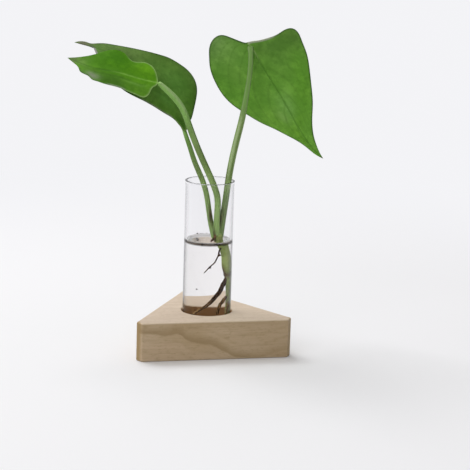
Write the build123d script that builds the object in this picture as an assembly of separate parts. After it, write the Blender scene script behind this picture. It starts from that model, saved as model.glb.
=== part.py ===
from build123d import *
import os
from math import sqrt

# Propagation vase: a wooden block, a glass tube that stands in it, water, and a rooting vine cutting.
# Millimetres. The origin is the middle of the block's underside, the tube stands on the Z axis,
# and the block's long front face looks towards -Y.

# Wooden block: an equilateral triangle with its three corners cut flat
base_width = 80.0
base_height = 20.0
corner_flat = 4.5
edge_ease = 0.7

# Seat drilled into the block for the tube
seat_depth = 12.0
seat_clearance = 0.5
seat_lead_in = 0.5

# Glass tube
tube_diameter = 25.0
tube_length = 80.0
glass_wall = 1.2
glass_floor = 2.0
foot_radius = 2.5
floor_radius = 1.8
rim_flare = 0.2
rim_lip = 3.0
rim_round = 0.5
lip_blend = 6.0

# Water
water_depth = 47.4
meniscus_rise = 1.0
water_clearance = 0.3

# Vine cutting: its turn about the tube, its room at the rim, and the radii of its stem, stalks and roots
cutting_turn = -13.0
stalk_clearance = 0.4
stem_radius = 1.6
crown_radius = 2.2
node_radius = 1.95
left_front_stalk_radius = 1.5
left_back_stalk_radius = 1.2
right_stalk_radius = 1.55
stalk_end_share = 0.7
stalk_reach_share = 2.5
left_front_stalk_rise = 50.4
left_back_stalk_rise = 27.1
right_stalk_rise = 69.4
main_root_radius = 1.0
upper_root_radius = 0.48
lower_root_radius = 0.8
sheath_radius = 0.7

# Leaf blades
leaf_thickness = 0.5
crease_share = 0.04
tip_share = 0.006
left_front_leaf_length = 47.0
left_back_leaf_length = 71.0
right_leaf_length = 73.0

# Levels and radii that follow from these
seat_floor = base_height - seat_depth
seat_radius = tube_diameter / 2 + seat_clearance
bore_radius = tube_diameter / 2 - glass_wall
bore_floor = seat_floor + glass_floor
water_level = bore_floor + water_depth
rim_level = seat_floor + tube_length


# Wooden block
def wood_base():
    """Triangular prism with cut corners and eased edges, and a blind seat with a lead-in."""
    side = base_width + corner_flat
    triangle = RegularPolygon(radius=side / sqrt(3), side_count=3, rotation=90)
    block = extrude(chamfer(triangle.vertices(), corner_flat), base_height)
    block = fillet(block.edges(), edge_ease)
    seat = Cylinder(seat_radius, seat_depth, align=(Align.CENTER, Align.CENTER, Align.MIN))
    block = block - Pos(0, 0, seat_floor) * seat
    mouth = block.edges().filter_by(GeomType.CIRCLE).group_by(Axis.Z)[-1]
    return chamfer(mouth, seat_lead_in)


# Glass and water, turned from half profiles
def turned(*lines):
    """A solid turned about the Z axis from the lines of its half profile."""
    return revolve(make_face(Plane.XZ * (Curve() + list(lines))), Axis.Z)


def glass_tube():
    """Flat-bottomed tube with a rounded foot, a slightly flared lip and a fire-polished rim."""
    outer = tube_diameter / 2
    lip = rim_level - rim_lip
    wall = FilletPolyline(
        (0, seat_floor),
        (outer, seat_floor),
        (outer, lip),
        (outer + rim_flare, rim_level),
        (bore_radius + rim_flare, rim_level),
        (bore_radius, lip),
        (bore_radius, bore_floor),
        (0, bore_floor),
        radius=[foot_radius, lip_blend, rim_round, rim_round, lip_blend, floor_radius],
    )
    return turned(wall, Line((0, bore_floor), (0, seat_floor)))


def water_fill():
    """The water, which fills the bore to its level and climbs the glass at its edge."""
    edge = water_level + meniscus_rise
    flat = bore_radius - meniscus_rise
    wall = FilletPolyline(
        (0, bore_floor),
        (bore_radius, bore_floor),
        (bore_radius, edge),
        radius=[floor_radius],
    )
    meniscus = RadiusArc((bore_radius, edge), (flat, water_level), meniscus_rise)
    top = Line((flat, water_level), (0, water_level))
    return turned(wall, meniscus, top, Line((0, water_level), (0, bore_floor)))


# Places on the cutting, in its own frame: X to the right of its front, Y away from the front.
# In the tube, across and away are shares of the bore radius.
def sunk(across, away, share):
    """A place in the water, at a share of its depth over the tube's floor."""
    return (across * bore_radius, away * bore_radius, bore_floor + share * water_depth)


def above(across, away, share):
    """A place over the water, at a share of the way from its surface to the rim."""
    height = water_level + share * (rim_level - water_level)
    return (across * bore_radius, away * bore_radius, height)


def past_rim(rise, *shares):
    """Places over the rim, in shares of a stalk's rise from the middle of the rim to its blade."""
    return [(right * rise, away * rise, rim_level + up * rise) for right, away, up in shares]


def limb(points, radii):
    """A round stem, stalk or root: a loft through circles square to the line of the points."""
    sections = []
    last = len(points) - 1
    for index, (point, radius) in enumerate(zip(points, radii)):
        heading = Vector(points[min(index + 1, last)]) - Vector(points[max(index - 1, 0)])
        side = Vector(0, 1, 0).cross(heading)
        sections.append(Plane(origin=point, x_dir=side, z_dir=heading) * Circle(radius))
    return loft(sections)


def main_solid(shape):
    """The largest solid of a cut shape."""
    return shape.solids().sort_by(SortBy.VOLUME)[-1]


def cut_by(shape, *neighbours):
    """What is left of a shape once its neighbours are cut from it."""
    for neighbour in neighbours:
        shape = main_solid(shape - neighbour)
    return shape


# Stem and roots: the line of each from the top down, and its radius at each point
stem_line = [
    above(0.40, -0.02, 0.13),
    above(0.43, -0.02, 0.04),
    sunk(0.49, 0.01, 0.93),
    sunk(0.575, 0.06, 0.76),
    sunk(0.645, 0.105, 0.62),
    sunk(0.68, 0.125, 0.44),
    sunk(0.69, 0.13, 0.25),
    sunk(0.67, 0.125, 0.085),
]
stem_radii = [stem_radius] * len(stem_line)
stem_radii[1] = crown_radius
stem_radii[4] = node_radius

main_root_line = [
    sunk(0.62, 0.08, 0.62),
    sunk(0.495, 0.0, 0.53),
    sunk(0.37, -0.06, 0.44),
    sunk(0.07, -0.14, 0.316),
    sunk(-0.23, -0.185, 0.24),
    sunk(-0.55, -0.195, 0.17),
    sunk(-0.725, -0.105, 0.115),
]
main_root_radii = [main_root_radius * share for share in (1.05, 1.0, 0.95, 0.85, 0.65, 0.5, 0.3)]

upper_root_line = [
    sunk(0.46, -0.035, 0.95),
    sunk(0.40, -0.18, 0.907),
    sunk(0.32, -0.23, 0.83),
    sunk(0.23, -0.25, 0.76),
    sunk(0.07, -0.265, 0.70),
    sunk(-0.115, -0.265, 0.645),
]
upper_root_radii = [upper_root_radius * share for share in (1.0, 1.0, 0.95, 0.85, 0.7, 0.5)]

lower_root_a_line = [
    sunk(0.665, 0.055, 0.38),
    sunk(0.585, -0.07, 0.327),
    sunk(0.495, -0.14, 0.264),
    sunk(0.435, -0.175, 0.18),
]
lower_root_a_radii = [lower_root_radius * share for share in (1.05, 1.0, 0.9, 0.7)]

lower_root_b_line = [
    sunk(0.672, 0.035, 0.316),
    sunk(0.655, -0.14, 0.253),
    sunk(0.62, -0.23, 0.18),
]
lower_root_b_radii = [lower_root_radius * share for share in (0.9, 0.8, 0.6)]

sheath_line = [
    above(0.33, -0.17, 0.10),
    above(0.24, -0.20, 0.035),
    above(0.12, -0.22, 0.005),
]
sheath_radii = [sheath_radius * share for share in (1.0, 0.8, 0.4)]


# Leaf stalks: the line of each, from the crown to its blade. The right one leans on the rim.
rim_lean = (bore_radius - stalk_clearance - right_stalk_radius) / bore_radius
left_front_stalk_line = [
    above(0.37, -0.08, 0.03),
    above(0.36, -0.10, 0.20),
    above(0.36, -0.105, 0.405),
    above(0.36, -0.13, 0.695),
    above(0.16, -0.175, 0.945),
    *past_rim(
        left_front_stalk_rise,
        (-0.054, -0.060, 0.165),
        (-0.145, -0.079, 0.369),
        (-0.224, -0.099, 0.573),
        (-0.302, -0.129, 0.756),
        (-0.409, -0.159, 0.887),
        (-0.536, -0.179, 1.0),
    ),
]
left_back_stalk_line = [
    above(0.28, 0.06, 0.05),
    above(0.133, 0.12, 0.28),
    above(-0.06, 0.16, 0.676),
    above(-0.275, 0.195, 0.915),
    *past_rim(
        left_back_stalk_rise,
        (-0.273, 0.111, 0.262),
        (-0.406, 0.155, 0.635),
        (-0.472, 0.221, 1.0),
    ),
]
right_stalk_line = [
    above(0.53, 0.07, 0.05),
    above(0.60, 0.07, 0.22),
    above(0.725, 0.05, 0.57),
    above(rim_lean, 0.0, 0.95),
    *past_rim(
        right_stalk_rise,
        (0.153, 0.0, 0.118),
        (0.184, 0.0, 0.320),
        (0.216, 0.0, 0.513),
        (0.245, 0.0, 0.733),
        (0.261, 0.0, 0.929),
        (0.259, 0.014, 1.0),
    ),
]


def stalk(line, radius):
    """A leaf stalk, which narrows where its blade starts and reaches past it, to be cut there."""
    heading = (Vector(line[-1]) - Vector(line[-2])).normalized()
    past_blade = Vector(line[-1]) + heading * radius * stalk_reach_share
    end_radius = radius * stalk_end_share
    return limb([*line, past_blade], [radius] * (len(line) - 1) + [end_radius, end_radius])


# Leaf blades. A blade's own frame has X from the stalk's end to the tip and Z out of its upper side.
# Its outline, arch and droop are shares of its length, and its fold is a slope.
def blade(length, left, right, arch, fold, droop):
    """A curved sheet trimmed to the leaf's outline, and the room from its underside up.

    The sheet's height is an arch from base to tip, plus a fold that lifts both halves from the
    midrib's groove, less a droop that grows with the square of the distance from it.
    """
    crease = crease_share * length

    def height(x, y):
        rise = 4 * arch * x * (1 - x / length)
        lift = fold * (sqrt(y * y + crease * crease) - crease)
        return rise + lift - droop * y * y / length

    left_side = [(x * length, y * length) for x, y in left]
    right_side = [(x * length, y * length) for x, y in right]
    tip = [(length, tip_share * length), (length, -tip_share * length)]
    half = len(left_side) // 2
    back = [*reversed(right_side), (0, 0), *left_side[:half]]
    margin = Spline(*left_side[half:], *tip, *back, periodic=True)
    prism = extrude(make_face(margin), length, both=True)

    spread = max(abs(y) for x, y in left_side + right_side) + crease
    start = min(0, *(x for x, y in left_side + right_side)) - 2 * crease
    rows = 24
    columns = 21
    grid = []
    for row in range(rows):
        x = start + (length + crease - start) * row / (rows - 1)
        across = [spread * (2 * column / (columns - 1) - 1) for column in range(columns)]
        grid.append([(x, y, height(x, y)) for y in across])
    sheet = Face.make_surface_from_array_of_points(grid, tol=1e-5)
    leaf = main_solid(Solid.extrude(sheet, Vector(0, 0, -leaf_thickness)) & prism)
    room = Solid.extrude(Pos(0, 0, -leaf_thickness) * sheet, Vector(0, 0, length / 4))
    return leaf, room


def placed(shapes, line, along, facing):
    """A blade at the end of its stalk's line: its tip points along, and its upper side is facing."""
    place = Plane(origin=line[-1], x_dir=along, z_dir=facing).location
    return [place * shape for shape in shapes]


left_front_blade = blade(
    left_front_leaf_length,
    left=[
        (0.043, 0.18),
        (0.096, 0.285),
        (0.298, 0.281),
        (0.468, 0.262),
        (0.66, 0.26),
        (0.81, 0.179),
        (0.904, 0.068),
    ],
    right=[
        (0.064, -0.149),
        (0.17, -0.228),
        (0.32, -0.20),
        (0.49, -0.298),
        (0.66, -0.221),
        (0.83, -0.07),
    ],
    arch=0.032,
    fold=0.12,
    droop=0.47,
)
left_back_blade = blade(
    left_back_leaf_length,
    left=[
        (0.077, 0.045),
        (0.26, 0.113),
        (0.408, 0.144),
        (0.563, 0.122),
        (0.732, 0.056),
        (0.873, -0.012),
        (0.93, -0.018),
    ],
    right=[
        (0.025, -0.141),
        (0.106, -0.296),
        (0.239, -0.352),
        (0.394, -0.31),
        (0.62, -0.19),
        (0.845, -0.08),
        (0.93, -0.042),
    ],
    arch=0.127,
    fold=0.12,
    droop=0.43,
)
right_blade = blade(
    right_leaf_length,
    left=[
        (-0.103, 0.082),
        (-0.151, 0.164),
        (-0.103, 0.267),
        (0.048, 0.377),
        (0.247, 0.418),
        (0.466, 0.363),
        (0.664, 0.226),
        (0.85, 0.096),
    ],
    right=[
        (0.01, -0.137),
        (-0.004, -0.295),
        (0.047, -0.377),
        (0.219, -0.336),
        (0.466, -0.212),
        (0.70, -0.075),
        (0.85, -0.01),
    ],
    arch=0.034,
    fold=0.10,
    droop=0.29,
)

left_front_leaf, left_front_room = placed(
    left_front_blade, left_front_stalk_line, (-0.97, 0.07, 0.23), (0.15, -0.55, 0.82)
)
left_back_leaf, left_back_room = placed(
    left_back_blade, left_back_stalk_line, (-0.82, 0.10, 0.56), (0.34, -0.70, 0.63)
)
right_leaf, right_room = placed(
    right_blade, right_stalk_line, (0.55, 0.21, -0.81), (0.30, 0.85, 0.42)
)

# Pieces of the cutting. Each is cut by the ones it grows from, and a stalk ends under its blade.
vine_stem = limb(stem_line, stem_radii)
petiole_left_front = cut_by(
    stalk(left_front_stalk_line, left_front_stalk_radius),
    left_front_room,
    vine_stem,
)
petiole_right = cut_by(
    stalk(right_stalk_line, right_stalk_radius),
    right_room,
    vine_stem,
    petiole_left_front,
)
petiole_left_back = cut_by(
    stalk(left_back_stalk_line, left_back_stalk_radius),
    left_back_room,
    vine_stem,
    petiole_left_front,
    petiole_right,
)
cutting = {
    "vine_stem": vine_stem,
    "petiole_left_front": petiole_left_front,
    "petiole_left_back": petiole_left_back,
    "petiole_right": petiole_right,
    "leaf_left_front": left_front_leaf,
    "leaf_left_back": left_back_leaf,
    "leaf_right": right_leaf,
    "root_main": cut_by(limb(main_root_line, main_root_radii), vine_stem),
    "root_upper": cut_by(limb(upper_root_line, upper_root_radii), vine_stem),
    "root_lower_a": cut_by(limb(lower_root_a_line, lower_root_a_radii), vine_stem),
    "root_lower_b": cut_by(limb(lower_root_b_line, lower_root_b_radii), vine_stem),
    "dry_sheath": cut_by(
        limb(sheath_line, sheath_radii),
        vine_stem,
        petiole_left_front,
        petiole_left_back,
    ),
}

# Water, with room round what hangs in it
water = water_fill()
wet_limbs = [
    (stem_line, stem_radii),
    (main_root_line, main_root_radii),
    (upper_root_line, upper_root_radii),
    (lower_root_a_line, lower_root_a_radii),
    (lower_root_b_line, lower_root_b_radii),
    (sheath_line, sheath_radii),
]
turn = Rot(0, 0, cutting_turn)
for line, radii in wet_limbs:
    roomy = limb(line, [radius + water_clearance for radius in radii])
    water = main_solid(water - turn * roomy)

# One file for each piece
pieces = {"wood_base": wood_base(), "glass_tube": glass_tube(), "water": water}
for name, shape in cutting.items():
    pieces[name] = turn * shape
os.makedirs("parts", exist_ok=True)
for name, shape in pieces.items():
    export_step(shape, f"parts/{name}.step")
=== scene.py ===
import bmesh
import bpy
import numpy as np
from mathutils import Matrix


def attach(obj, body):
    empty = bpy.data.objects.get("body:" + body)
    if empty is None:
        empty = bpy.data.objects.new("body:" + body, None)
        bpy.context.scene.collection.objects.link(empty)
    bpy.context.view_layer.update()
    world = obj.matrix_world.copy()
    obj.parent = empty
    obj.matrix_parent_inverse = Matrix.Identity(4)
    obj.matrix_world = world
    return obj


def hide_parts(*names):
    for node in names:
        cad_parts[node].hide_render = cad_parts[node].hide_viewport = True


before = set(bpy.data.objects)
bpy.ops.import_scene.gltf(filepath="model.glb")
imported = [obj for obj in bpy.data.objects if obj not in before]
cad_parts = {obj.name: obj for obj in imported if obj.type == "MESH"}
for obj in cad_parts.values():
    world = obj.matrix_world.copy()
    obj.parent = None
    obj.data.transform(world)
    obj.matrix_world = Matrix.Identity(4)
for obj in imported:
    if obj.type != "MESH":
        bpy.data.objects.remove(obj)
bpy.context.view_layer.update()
print("frame loaded")

mm = .001  # lengths below are in millimetres


# Curves

# Natural cubic spline through the values at the knots, read at x
def splineAt(knots, values, x):
    h = np.diff(knots)
    n = len(knots)
    a = np.eye(n)
    b = np.zeros(values.shape)
    i = np.arange(1, n - 1)
    a[i, i - 1] = h[:-1]
    a[i, i] = 2 * (h[:-1] + h[1:])
    a[i, i + 1] = h[1:]
    slope = np.diff(values, axis=0) / h[:, None]
    b[1:-1] = 6 * np.diff(slope, axis=0)
    m = np.linalg.solve(a, b)
    k = np.clip(np.searchsorted(knots, x) - 1, 0, n - 2)
    d, p, q = h[k][:, None], (knots[k + 1] - x)[:, None], (x - knots[k])[:, None]
    bend = (m[k] * p**3 + m[k + 1] * q**3) / (6 * d)
    return bend + (values[k] / d - m[k] * d / 6) * p + (values[k + 1] / d - m[k + 1] * d / 6) * q


# Length along a row of points, each step raised to a power
def runAlong(points, power=1):
    return np.append(0, np.cumsum(np.linalg.norm(np.diff(points, axis=0), axis=1) ** power))


# The spline through the points, read at shares (0 to 1) of its own length
def smoothLine(points, at):
    points = np.array(points, float)
    knots = runAlong(points, .7)
    fine = splineAt(knots, points, np.linspace(0, knots[-1], 3000))
    run = runAlong(fine)
    return np.stack([np.interp(np.asarray(at) * run[-1], run, c) for c in fine.T], -1)


# Smooth step from 0 at low to 1 at high
def soft(x, low, high):
    t = np.clip((x - low) / (high - low), 0, 1)
    return t * t * (3 - 2 * t)


# Bell: 1 at its centre, fading on both sides
def bell(x, centre, reach, power=2):
    return np.exp(-(((x - centre) / reach) ** power))


def unit(v):
    return v / np.linalg.norm(v, axis=-1, keepdims=True)


def fullTurn(sides):
    return np.linspace(0, 2 * np.pi, sides, endpoint=False)


# Half profile: straight runs between the corners, each inner corner rounded by an arc of its radius
def roundedProfile(corners, radii, run, arc=8):
    c = np.array(corners, float)
    out = []
    start = c[0]
    for k, radius in enumerate(radii):
        a, p, b = c[k], c[k + 1], c[k + 2]
        u, v = unit(a - p), unit(b - p)
        half = np.arccos(np.clip(u @ v, -1, 1)) / 2
        t0, t1 = p + u * radius / np.tan(half), p + v * radius / np.tan(half)
        centre = p + unit(u + v) * radius / np.sin(half)
        g = np.linspace(0, 1, run)[:, None]
        g = .5 - .5 * np.cos(np.pi * g)
        out.append(start * (1 - g) + t0 * g)
        w = np.linspace(0, 1, arc)[1:-1, None]
        ray = (t0 - centre) * (1 - w) + (t1 - centre) * w
        out.append(centre + unit(ray) * radius)
        start = t1
    g = np.linspace(0, 1, run)[:, None]
    out.append(start * (1 - g) + c[-1] * g)
    return np.vstack(out)


# Meshes

# Closed skin: rings of points joined round and along, each end drawn to a pole. Turned out if inside out
def ringSkin(rings, poles, masks=None):
    rows, cols = rings.shape[:2]
    points = np.vstack([rings.reshape(-1, 3), poles]) * mm
    i, j = np.arange(rows - 1)[:, None] * cols, np.arange(cols)[None, :]
    k = (j + 1) % cols
    quads = np.stack([i + j, i + k, i + cols + k, i + cols + j], -1).reshape(-1, 4)
    j, k, last = j[0], k[0], (rows - 1) * cols
    fanA = np.stack([np.full(cols, rows * cols), k, j], -1)
    fanB = np.stack([np.full(cols, rows * cols + 1), last + j, last + k], -1)
    tris = np.vstack([quads[:, [0, 1, 2]], quads[:, [0, 2, 3]], fanA, fanB])
    a, b, c = points[tris[:, 0]], points[tris[:, 1]], points[tris[:, 2]]
    if np.einsum("ij,ij->", a, np.cross(b, c)) < 0:
        quads, fanA, fanB = quads[:, ::-1], fanA[:, ::-1], fanB[:, ::-1]
    mesh = bpy.data.meshes.new("skin")
    mesh.from_pydata(points.tolist(), [], quads.tolist() + fanA.tolist() + fanB.tolist())
    for key, value in (masks or {}).items():
        ends = np.stack([value[0].mean(0), value[-1].mean(0)])
        flat = np.concatenate([value.reshape(rows * cols, -1), ends.reshape(2, -1)])
        if flat.shape[1] == 1:
            mesh.attributes.new(key, "FLOAT", "POINT").data.foreach_set("value", flat.ravel().astype(np.float32))
        else:
            tones = np.column_stack([flat, np.ones(len(flat))]).ravel().astype(np.float32)
            mesh.attributes.new(key, "FLOAT_COLOR", "POINT").data.foreach_set("color", tones)
    mesh.shade_smooth()
    mesh.update()
    return mesh


# Turned skin: a half profile (radius, height) carried round the Z axis, its first and last points on the axis
def turnedSkin(profile, sides, masks):
    r, z = profile[1:-1].T
    t = fullTurn(sides)
    rings = np.stack([np.outer(r, np.cos(t)), np.outer(r, np.sin(t)), np.outer(z, np.ones(sides))], -1)
    wide = {k: (v if v.ndim == 2 else np.repeat(v[:, None], sides, 1))[1:-1] for k, v in masks.items()}
    poles = [(0, 0, profile[0, 1]), (0, 0, profile[-1, 1])]
    return ringSkin(rings, poles, wide)


def addObject(name, data):
    thing = bpy.data.objects.new(name, data)
    bpy.context.scene.collection.objects.link(thing)
    return thing


def addPiece(name, mesh, material, body, nodes):
    piece = addObject(name, mesh)
    mesh.name = name
    mesh.materials.append(material)
    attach(piece, body)
    if nodes:
        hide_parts(*nodes)
    print("piece", name, len(mesh.polygons), "faces")


# Shader helpers

# New node: inputs are set by name or number, from a value, a colour (r, g, b) or another node's output
def addNode(tree, kind, inputs=None, **settings):
    node = tree.nodes.new(kind)
    for key, value in settings.items():
        setattr(node, key, value)
    for key, value in (inputs or {}).items():
        if isinstance(value, bpy.types.NodeSocket):
            tree.links.new(value, node.inputs[key])
        else:
            node.inputs[key].default_value = (*value, 1.0) if node.inputs[key].type == "RGBA" else value
    return node


def mathNode(tree, operation, a, b=0.0, c=0.0):
    return addNode(tree, "ShaderNodeMath", {0: a, 1: b, 2: c}, operation=operation).outputs[0]


def times(tree, a, b):
    return mathNode(tree, "MULTIPLY", a, b)


def mixTone(tree, factor, a, b, blend="MIX"):
    node = addNode(tree, "ShaderNodeMix", {0: factor, 6: a, 7: b}, data_type="RGBA", blend_type=blend)
    return node.outputs[2]


# Smooth step of a value from low to high, given out between toLow and toHigh
def spread(tree, value, low, high, toLow=0.0, toHigh=1.0):
    node = addNode(tree, "ShaderNodeMapRange", {0: value, 1: low, 2: high, 3: toLow, 4: toHigh},
                   interpolation_type="SMOOTHSTEP")
    return node.outputs[0]


def readMask(tree, name):
    return addNode(tree, "ShaderNodeAttribute", attribute_name=name).outputs["Fac"]


def objectPlace(tree, scale=(1, 1, 1)):
    place = addNode(tree, "ShaderNodeTexCoord").outputs["Object"]
    return addNode(tree, "ShaderNodeMapping", {"Vector": place, "Scale": scale}).outputs[0]


def noiseAt(tree, place, scale, detail=3.0, rough=.5):
    settings = {"Vector": place, "Scale": scale, "Detail": detail, "Roughness": rough}
    return addNode(tree, "ShaderNodeTexNoise", settings).outputs["Fac"]


def newMaterial(name):
    material = bpy.data.materials.new(name)
    material.use_nodes = True
    tree = material.node_tree
    tree.nodes.clear()
    out = addNode(tree, "ShaderNodeOutputMaterial")
    return material, tree, out


def bumped(tree, height, strength, distance):
    return addNode(tree, "ShaderNodeBump", {"Height": height, "Strength": strength, "Distance": distance}).outputs[0]


def skinShader(tree, tone, rough, shine, normal=None):
    inputs = {"Base Color": tone, "Roughness": rough, "Specular IOR Level": shine}
    if normal:
        inputs["Normal"] = normal
    return addNode(tree, "ShaderNodeBsdfPrincipled", inputs)


def putOut(tree, out, shader):
    tree.links.new(shader.outputs[0], out.inputs[0])


def blendShaders(tree, out, factor, first, second):
    inputs = {0: factor, 1: first.outputs[0], 2: second.outputs[0]}
    putOut(tree, out, addNode(tree, "ShaderNodeMixShader", inputs))


# Wooden block

block = {
    "inradius": 24.39, "cornerReach": 44.89,  # middle to a long face, and to a cut corner
    "ease": .7, "height": 20.0, "seatRadius": 13.0, "seatFloor": 8.0, "leadIn": .5,
    # top is painted light: the top face paler, as if lit from above
    "pale": (.62, .475, .315), "tan": (.54, .395, .235), "band": (.335, .228, .11), "top": (.75, .63, .53),
    # the edge tone below is a painted highlight along the eased edges
    # the seat tone below is painted shade: the deep hole drawn dark brown
    "edgeHighlight": (.7, .57, .4), "endGrain": (.45, .31, .145), "seatShade": (.4, .158, .041), "low": (.66, .5, .34),
    # The rolling band: its height along the front, both as shares, then in metres the front's half length,
    # the band's greatest height, and how far it sinks with each metre away from the front face
    "roll": [(0, .8), (.12, .72), (.2, .69), (.27, .71), (.32, .57), (.4, .46), (.48, .39), (.56, .24),
             (.64, .08), (.76, .05), (.88, .16), (1, .32)],
    "halfFront": .042, "rollRise": .02, "sink": .22, "frontFace": .0244,
}


# Rings from the underside's middle, over the eased edges and the top, down the seat to its floor.
# A ring is the core outline plus the ease times the outward normal, or a blend from core to circle.
def blockMesh():
    normals = np.radians([-90 + 60 * k for k in range(7)])
    reach = [block["inradius"], block["cornerReach"]] * 4
    reach = np.array(reach[:7]) - block["ease"]
    n = np.stack([np.cos(normals), np.sin(normals)], -1)
    corner = np.array([np.linalg.solve(n[[k, k + 1]], reach[[k, k + 1]]) for k in range(6)])
    core, out = [], []
    for k in range(6):  # arc at corner k, then the run to the next one
        t = normals[k] + np.linspace(0, np.pi / 3, 7)
        core.append(np.repeat(corner[k:k + 1], 7, 0))
        out.append(np.stack([np.cos(t), np.sin(t)], -1))
        steps = 7 if k % 2 == 0 else 48
        g = (np.arange(1, steps) / steps)[:, None]
        core.append(corner[k] * (1 - g) + corner[(k + 1) % 6] * g)
        out.append(np.repeat(n[k + 1:k + 2], steps - 1, 0))
    core, out = np.vstack(core), np.vstack(out)
    ray = unit(core)
    e, h = block["ease"], block["height"]
    mouth = block["seatRadius"] + block["leadIn"]
    rings, edge, seatShade = [], [], []

    def ring(xy, z, edgeHighlight=0.0, sunk=0.0):
        rings.append(np.column_stack([xy, np.full(len(xy), z)]))
        edge.append(np.full(len(xy), edgeHighlight))
        seatShade.append(np.full(len(xy), sunk))

    for q in (.3, .7, .97, .995):
        ring(core * q, 0)
    # the edge mask marks the eased edges and the seat's mouth for a painted highlight
    for t in np.radians(np.linspace(-90, 0, 8)):
        ring(core + out * e * np.cos(t), e + e * np.sin(t), np.cos(t) * .6)
    for z in np.concatenate([[e + .1], np.linspace(1.5, h - 1.5, 9), [h - e - .1]]):
        ring(core + out * e, z)
    for t in np.radians(np.linspace(0, 90, 8)):
        ring(core + out * e * np.cos(t), h - e + e * np.sin(t), np.sin(2 * t))
    for g in (.006, .05, .2, .4, .6, .8, .96, .994):
        ring(core * (1 - g) + ray * mouth * g, h)
    for g in np.linspace(0, 1, 4):
        ring(ray * (mouth - block["leadIn"] * g), h - block["leadIn"] * g, .4, g * .5)
    # the seat's wall and floor are marked for painted shade
    for z in np.linspace(h - block["leadIn"] - .1, block["seatFloor"] + .1, 8):
        ring(ray * block["seatRadius"], z, 0, 1)
    for q in (1.0, .97, .6, .2):
        ring(ray * block["seatRadius"] * q, block["seatFloor"], 0, 1)
    poles = [(0, 0, 0), (0, 0, block["seatFloor"])]
    return ringSkin(np.array(rings), poles, {"edge": np.array(edge), "seatShade": np.array(seatShade)})


# Wood figure: rings follow z less a wavy line in x, so the front shows one rolling band and the ends show end grain
def woodMaterial():
    material, tree, out = newMaterial("pale wood")
    place = addNode(tree, "ShaderNodeTexCoord").outputs["Object"]
    x, y, z = addNode(tree, "ShaderNodeSeparateXYZ", {0: place}).outputs
    reach, sink = block["halfFront"], block["sink"]
    along = addNode(tree, "ShaderNodeMapRange", {0: x, 1: -reach, 2: reach, 3: 0.0, 4: 1.0}).outputs[0]
    roll = addNode(tree, "ShaderNodeFloatCurve", {"Value": along})
    curve = roll.mapping.curves[0]
    for share, rise in block["roll"][1:-1]:
        curve.points.new(share, rise)
    curve.points[0].location = block["roll"][0]
    curve.points[-1].location = block["roll"][-1]
    roll.mapping.update()
    drift = noiseAt(tree, objectPlace(tree, (60, 30, 60)), 1.0, 4.0, .6)
    drift = mathNode(tree, "MULTIPLY_ADD", drift, .005, -.0025)
    depth = mathNode(tree, "MULTIPLY_ADD", y, sink, sink * block["frontFace"])
    rings = mathNode(tree, "SUBTRACT", z, times(tree, roll.outputs[0], block["rollRise"]))
    rings = mathNode(tree, "ADD", mathNode(tree, "ADD", rings, drift), depth)  # metres from the rolling band

    fibre = noiseAt(tree, objectPlace(tree, (40, 700, 900)), 1.0, 4.0, .6)
    fleck = noiseAt(tree, objectPlace(tree, (420, 1500, 1300)), 1.0, 3.0, .6)
    cloud = noiseAt(tree, objectPlace(tree, (22, 40, 55)), 1.0, 3.0, .55)

    above = spread(tree, rings, 0.0, .0055, 1.0, 0.0)  # the band fades upwards from a firm lower edge
    below = spread(tree, rings, -.0009, .0002)
    band = times(tree, times(tree, above, below), spread(tree, x, .008, .028, 1.0, .4))
    fine = spread(tree, mathNode(tree, "SINE", times(tree, rings, 1150.0)), .2, 1.0, 0.0, .22)
    ringMask = mathNode(tree, "MAXIMUM", times(tree, band, .62), times(tree, fine, .5))
    ends = spread(tree, mathNode(tree, "ABSOLUTE", x), .0378, .0392)

    tone = mixTone(tree, spread(tree, cloud, .32, .68), block["tan"], block["pale"])
    for mask, over in ((spread(tree, rings, -.007, -.0012, .6, 0.0), "low"),
                       (ringMask, "band"),
                       (spread(tree, x, .004, .04, 0.0, .22), "band"),
                       # painted light: the top face takes the paler top tone, as if lit from above
                       (spread(tree, z, .0192, .0199, 0.0, .72), "top"),
                       (spread(tree, fibre, .35, .72, 0.0, .2), "band"),
                       (spread(tree, fleck, .5, .72, 0.0, .34), "band"),
                       # painted highlight: a pale tone along the eased edges, where they catch the light
                       (times(tree, readMask(tree, "edge"), .55), "edgeHighlight"),
                       (times(tree, ends, .88), "endGrain"),
                       # painted shade: the seat's wall and floor darker brown, as the hole is dim
                       (times(tree, readMask(tree, "seatShade"), .85), "seatShade")):
        tone = mixTone(tree, mask, tone, block[over])
    rough = spread(tree, fibre, .3, .7, .5, .64)
    normal = bumped(tree, mathNode(tree, "ADD", fibre, times(tree, fleck, .6)), .22, .0004)
    putOut(tree, out, skinShader(tree, tone, rough, .2, normal))
    return material


addPiece("woodBlock", blockMesh(), woodMaterial(), "base", ["wood_base"])


# Glass tube and water

tube = {
    "radius": 12.5, "foot": 8.0, "rim": 88.0, "wall": 1.2, "floor": 10.0, "lip": 3.0, "flare": .2, "sides": 128,
    "footRound": 2.5, "lipBlend": 6.0, "rimRound": .2, "floorRound": 1.8,
    "front": 258.0,  # degrees round the axis, where the wall faces the camera
    # grazing is painted shade where a wall is seen edge on
    "ior": 1.5, "tint": (.966, .964, .97), "shine": (.2, .2, .2), "grazing": (.11, .11, .125),
    # the tone below is painted shade, greying the rim line, with its own shine
    "paintedShade": (.74, .74, .77), "paintedShadeShine": (1.0, 1.0, 1.0),
}
water = {
    "level": 57.4, "hollow": 1.0, "climb": 1.4, "overlap": .05,
    # grazing is painted shade where the water is seen edge on
    "ior": 1.333, "tint": (1.0, .988, .975), "shine": (.2, .18, .15), "grazing": (.62, .62, .63),
    # the tone below is painted shade: a dark brown line at the meniscus and a darker water surface, with its own shine
    "paintedShade": (.012, .0065, .0025), "paintedShadeShine": (.1, .07, .04),
}
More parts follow.
